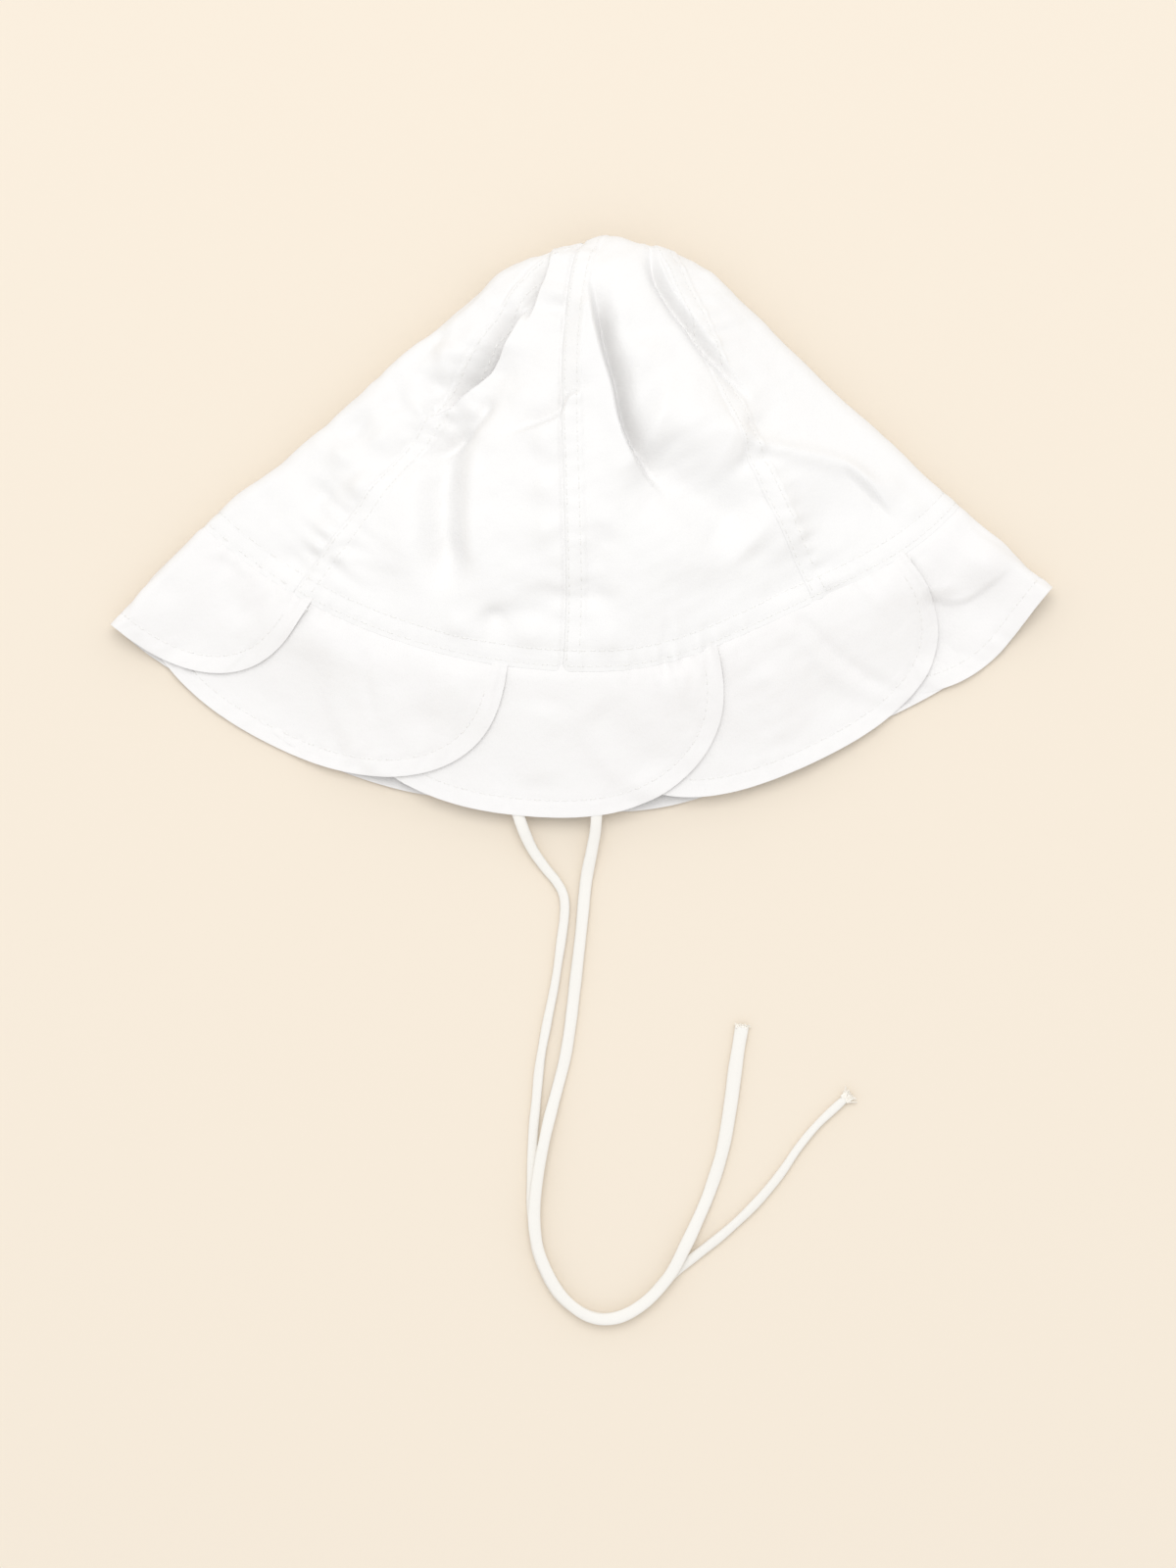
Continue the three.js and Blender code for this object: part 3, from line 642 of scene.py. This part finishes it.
def tie_line(route, spacing=0.9):
    """Evenly spaced points of a tie's route."""
    line = smooth_line(np.array(route) + MIDDLE, 12)
    run = running_length(line)
    even = np.linspace(0, run[-1], round(run[-1] / spacing) + 1)
    return np.stack([np.interp(even, run, line[:, axis]) for axis in range(3)], -1)


def tie_frames(line):
    """Directions forwards, sideways and upwards at each point of a tie."""
    forward = np.gradient(line, axis=0)
    forward /= length_of(forward)[:, None]
    sideways = np.cross(forward, [0, 0, 1])
    sideways /= length_of(sideways)[:, None]
    return forward, sideways, np.cross(sideways, forward)


def make_tie(name, route, widths, seed, material):
    """Flat folded tie with a row of stitches pressed in along each edge."""
    line = tie_line(route)
    run = running_length(line)
    _, sideways, upward = tie_frames(line)
    shares, sizes = np.array(widths).T
    width = np.interp(run / run[-1], shares, sizes)
    run_points = np.stack([run, run * 0, run * 0], -1)
    width = width + 0.16 * waves(run_points, 6, seed) * ease(0, 10, run)
    roll = 0.16 * waves(run_points, 24, seed + 1)
    rows = len(line) - 1

    def place(around, down):
        row = np.rint(down * rows).astype(int)
        angle = -around * 2 * math.pi
        flat = np.sign(np.cos(angle)) * np.abs(np.cos(angle)) ** (2 / TIE_SQUARENESS)
        thick = np.sign(np.sin(angle)) * np.abs(np.sin(angle)) ** (2 / TIE_SQUARENESS)
        from_edge = (1 - np.abs(flat)) * width[row] / 2
        stitched = 0.6 + 0.4 * np.cos(2 * math.pi * run[row] / TIE_STITCH_PITCH)
        pressed = 0.16 * bell((from_edge - TIE_STITCH_INSET) / 0.3) * stitched
        wide = flat * width[row] / 2
        high = thick * (TIE_THICKNESS / 2 - pressed) * (1 - 0.25 * np.abs(flat) ** 3)
        turned = roll[row]
        shift = np.abs(turned) * width[row] / 2 * 0.5
        return (line[row] + sideways[row] * (wide * np.cos(turned) - high * np.sin(turned))[:, None]
                + upward[row] * (wide * np.sin(turned) + high * np.cos(turned) + shift)[:, None])

    tie = shaped_grid(name, TIE_SIDES, rows, place, (2 * (TIE_WIDTH + TIE_THICKNESS), run[-1]), material)
    close_shell(tie)
    return tie, line, run[-1]


def close_shell(piece):
    """Merges a tube's seam, closes its ends and turns its faces outwards."""
    shape = bmesh.new()
    shape.from_mesh(piece.data)
    bmesh.ops.remove_doubles(shape, verts=shape.verts, dist=1e-6)
    bmesh.ops.holes_fill(shape, edges=shape.edges, sides=0)
    bmesh.ops.recalc_face_normals(shape, faces=shape.faces)
    for face in shape.faces:
        face.smooth = True
    shape.to_mesh(piece.data)
    shape.free()


def make_fray(name, line, width, threads, reach, lift, seed, material):
    """Loose cotton threads at a tie's cut end."""
    dice = np.random.default_rng(seed)
    forward, sideways, upward = (frames[-1] for frames in tie_frames(line))
    shape = bmesh.new()
    for _ in range(threads):
        start = (line[-1] - forward * 0.5 + sideways * dice.uniform(-0.45, 0.45) * width
                 + upward * dice.uniform(-0.2, 0.4) * TIE_THICKNESS)
        bend = forward * reach * dice.uniform(0.5, 1) + sideways * dice.normal(0, 0.28) * reach
        end = bend * 1.1 + sideways * dice.normal(0, 0.3) * reach + upward * dice.uniform(0, 1) * lift
        thick = dice.uniform(0.2, 0.32)
        made = bmesh.ops.create_grid(shape, x_segments=5, y_segments=7, size=0.5)["verts"]
        for vertex in made:
            angle, share = (vertex.co.x + 0.5) * 2 * math.pi, 0.5 - vertex.co.y
            middle = start + 2 * share * (1 - share) * bend * 0.6 + share * share * end
            middle[2] = max(middle[2], 0.4)
            out = sideways * math.cos(angle) + upward * math.sin(angle)
            vertex.co = (middle + out * thick * (1 - 0.6 * share)) * MM
    fray = add_object(name, shape, material)
    close_shell(fray)
    return fray


lower_tie, lower_line, lower_length = make_tie("tie_lower_cotton", LOWER_TIE_ROUTE, LOWER_TIE_WIDTHS, 11,
                                               tie_cotton)
upper_tie, upper_line, upper_length = make_tie("tie_upper_cotton", UPPER_TIE_ROUTE, UPPER_TIE_WIDTHS, 21,
                                               tie_cotton)
# The frays use the thread colour that is painted lighter than the tie, to lift the shade among their threads.
lower_fray = make_fray("tie_lower_fray", lower_line, 3.0, 64, 3.0, 0.3, 31, lightened_fray_thread)
upper_fray = make_fray("tie_upper_fray", upper_line, 3.9, 64, 1.5, 0.2, 32, lightened_fray_thread)
finish_piece(lower_tie, "tie_cotton", "tie_lower")
finish_piece(upper_tie, "tie_cotton", "tie_upper")
for tie, line, length, fray in [(lower_tie, lower_line, lower_length, lower_fray),
                                (upper_tie, upper_line, upper_length, upper_fray)]:
    finish_piece(fray, "tie_cotton")


def cut_size(widest, smooth, folded):
    """Size of a piece of cotton as it was cut, in metres: its width along a line of points where it is
    widest, its length from its shape before the folds, and its area from the shape with its folds."""
    size = length_of(np.diff(widest, axis=0)).sum(), length_of(np.diff(smooth, axis=0)).sum(axis=0).max()
    across, down = np.diff(folded, axis=1)[:-1], np.diff(folded, axis=0)[:, :-1]
    return (size[0] * MM, size[1] * MM), length_of(np.cross(across, down)).sum() * MM * MM


# Crown panels, from one seam to the next. Those that lie uppermost are finer. The outermost columns
# and the last row are narrow, so that the cloth stays level up to its seams.
PANEL_START, PANEL_RIM, ROW_CROWDING = 0.006, 0.001, 1.08
LOWER_PANELS, LOWER_PETALS = (3, 4), (4, 5, 6)  # indexes of those that lie wholly underneath
PANEL_FLAT, PETAL_FLAT = (88, 150), (115, 46)  # flat size that the weave is drawn at
for panel in range(PANEL_COUNT):
    columns, rows = (60, 80) if panel in LOWER_PANELS else (124, 190)

    def panel_place(along, down_share, panel=panel, column=1 / columns, row=1 / rows):
        body = np.clip(down_share / (1 - row), 0, 1) ** ROW_CROWDING * (1 - PANEL_RIM)
        body = body + PANEL_RIM * (down_share > 1 - row / 2)
        down = PANEL_START + (1 - PANEL_START) * body
        inner = PANEL_RIM + (1 - 2 * PANEL_RIM) * np.clip((along - column) / (1 - 2 * column), 0, 1)
        share = np.where(along < column / 2, 0, np.where(along > 1 - column / 2, 1, inner))
        start, stop = seam_turn(panel, down), seam_turn(panel + 1, down)
        return crown_point(start + (stop - start) * share, down)

    cotton = shaped_grid(f"crown_panel_{panel + 1}_cotton", columns, rows, panel_place, PANEL_FLAT, crown_cotton)
    thicken(cotton, CROWN_CLOTH, 0)
    finish_piece(cotton, "crown_cotton", f"crown_panel_{panel + 1}")
    downs = np.linspace(PANEL_START, 1, 80)[:, None]
    start, stop = seam_turn(panel, downs), seam_turn(panel + 1, downs)
    turns, downs = np.broadcast_arrays(start + (stop - start) * np.linspace(0, 1, 60), downs)
    flat, area = cut_size(smooth_point(turns[-1], 1), smooth_point(turns, downs), crown_point(turns, downs))

# Brim petals. The end with the higher turn lies over its neighbour.
for petal in range(PETAL_COUNT):
    columns, rows = (84, 34) if petal in LOWER_PETALS else (170, 62)
    tucked = 2 / rows  # share of the rows that lie hidden behind the brim seam

    def petal_place(along, down_share, petal=petal, tucked=tucked):
        side = -np.cos(math.pi * along)
        turn = petal_middle(petal) + side * PETAL_HALF_SPAN
        seen = petal_hem(petal, side) * (down_share - tucked) / (1 - tucked)
        hidden = -PETAL_TUCK * (1 - down_share / tucked)
        return petal_point(petal, turn, np.where(down_share < tucked, hidden, seen))

    cotton = shaped_grid(f"brim_petal_{petal + 1}_cotton", columns, rows, petal_place, PETAL_FLAT, brim_cotton)
    thicken(cotton, PETAL_CLOTH, 0.3)
    finish_piece(cotton, "brim_cotton", f"brim_petal_{petal + 1}")
    sides = -np.cos(np.linspace(0, math.pi, 80))
    lengths = (petal_hem(petal, sides) + PETAL_TUCK) * np.linspace(0, 1, 40)[:, None] - PETAL_TUCK
    turns, lengths = np.broadcast_arrays(petal_middle(petal) + sides * PETAL_HALF_SPAN, lengths)
    flat, area = cut_size(smooth_point(turns[0], 1 + BRIM_DEPTH / 3 / BRIM_REACH),
                          smooth_point(turns, 1 + lengths / BRIM_REACH), petal_point(petal, turns, lengths))


def sew(shape, surface, turns, downs, keep=None):
    """Row of stitches on a surface, along a line of its places."""
    line = surface(turns, downs)
    run = running_length(line)
    spots = np.arange(STITCH_PITCH / 2, run[-1] - STITCH_PITCH / 2, STITCH_PITCH)
    turn, down = np.interp(spots, run, turns), np.interp(spots, run, downs)
    ahead_turn, ahead_down = np.interp(spots + 0.4, run, turns), np.interp(spots + 0.4, run, downs)
    here = surface(turn, down)
    forward = surface(ahead_turn, ahead_down) - here
    around = surface(turn + 6e-4, down) - here
    step = 0.35 * (downs.max() - downs.min()) / 60 + 1e-3
    along = surface(turn, down + step) - here
    outward = outward_of(around, along)
    row = bmesh.new()
    for index in range(len(spots)):
        if keep is not None and not keep(turn[index], down[index]):
            continue
        ahead = Vector(forward[index]).normalized()
        out = Vector(outward[index])
        side = out.cross(ahead).normalized()
        out = ahead.cross(side)
        centre = Vector(here[index]) + out * 0.02
        sizes = (STITCH_LENGTH / 2, STITCH_WIDTH / 2, STITCH_WIDTH / 2)
        turned = Matrix([[axis[at] * size for axis, size in zip((ahead, side, out), sizes)] for at in range(3)])
        place = Matrix.Translation(centre * MM) @ (turned * MM).to_4x4()
        bmesh.ops.create_uvsphere(row, u_segments=6, v_segments=4, radius=1, matrix=place)
    row_mesh = bpy.data.meshes.new("stitch_row")
    row.to_mesh(row_mesh)
    row.free()
    shape.from_mesh(row_mesh)
    bpy.data.meshes.remove(row_mesh)


def stitch_piece(name, shape, slot):
    """Piece of its own from rows of stitches."""
    bmesh.ops.recalc_face_normals(shape, faces=shape.faces)
    piece = add_object(name, shape, stitch_thread)
    finish_piece(piece, slot)


seam_rows = bmesh.new()
for seam in range(PANEL_COUNT):
    downs = np.linspace(0.05, 0.985, 400)
    for offset in SEAM_STITCHES:
        turns = seam_turn(seam, downs)
        _, around, along = slopes_at(turns, downs)
        turns = turns + offset * length_of(along) / length_of(np.cross(around, along))
        sew(seam_rows, crown_point, turns, downs)
stitch_piece("crown_seam_stitches", seam_rows, "crown_cotton")

edge_rows = bmesh.new()
for offset in EDGE_STITCHES:
    turns = np.linspace(0, 1, 1600)
    _, _, along = slopes_at(turns, 1 + turns * 0)
    sew(edge_rows, crown_point, turns, 1 - offset / length_of(along))
stitch_piece("brim_seam_stitches", edge_rows, "crown_cotton")

hem_rows = bmesh.new()
for petal in range(PETAL_COUNT):
    sides = -np.cos(np.linspace(0.03, math.pi - 0.03, 500))
    outline = np.stack([sides * PETAL_HALF_SPAN * TURN_LENGTH, petal_hem(petal, sides)], -1)
    ahead = np.gradient(outline, axis=0)
    inset = outline + HEM_STITCHES * np.stack([ahead[:, 1], -ahead[:, 0]], -1) / length_of(ahead)[:, None]
    turns = petal_middle(petal) + inset[:, 0] / TURN_LENGTH
    far = (inside_petal(petal, turns, inset[:, 1]) > HEM_STITCHES - 0.3) & (inset[:, 1] > 0.5)
    sew(hem_rows, lambda turn, length, petal=petal: petal_point(petal, turn, length), turns[far], inset[far, 1],
        keep=lambda turn, length, petal=petal: inside_petal(petal - 1, np.array([turn]), np.array([length]))[0] < 0)
stitch_piece("petal_hem_stitches", hem_rows, "brim_cotton")

# A plain pale floor, a soft surrounding light and a softbox above the crown. The floor is painted board,
# eggshell smooth, so it gives no gloss and a faint warm glow.
FLOOR_DROP = 0.0002  # metres below the cloth, so that the two don't flicker
floor_shape = bmesh.new()
bmesh.ops.create_grid(floor_shape, x_segments=1, y_segments=1, size=1.6)
bmesh.ops.translate(floor_shape, verts=floor_shape.verts, vec=(0, 0, -FLOOR_DROP))
painted_board = plain_material("cream_painted_board", "e7dccc", 0.85)
floor = add_object("pale_floor", floor_shape, painted_board, smooth=False)

world = bpy.data.worlds.new("soft_studio")
world.use_nodes = True
world.node_tree.nodes["Background"].inputs["Color"].default_value = colour("ffffff")
world.node_tree.nodes["Background"].inputs["Strength"].default_value = 0.86
bpy.context.scene.world = world


def add_light(name, spot, target, size, power, tint):
    """Round softbox at a spot, turned to a target, in metres and watts."""
    data = bpy.data.lights.new(name, "AREA")
    data.shape, data.size, data.energy, data.color = "DISK", size, power, colour(tint)[:3]
    light = bpy.data.objects.new(name, data)
    light.location = spot
    light.rotation_euler = (Vector(target) - Vector(spot)).to_track_quat("-Z", "Y").to_euler()
    bpy.context.scene.collection.objects.link(light)


add_light("overhead_softbox", (-0.05, 0.7, 2.05), (0, -0.04, 0), 1.7, 18.5, "ffffff")
bpy.context.scene.view_settings.view_transform = "Standard"
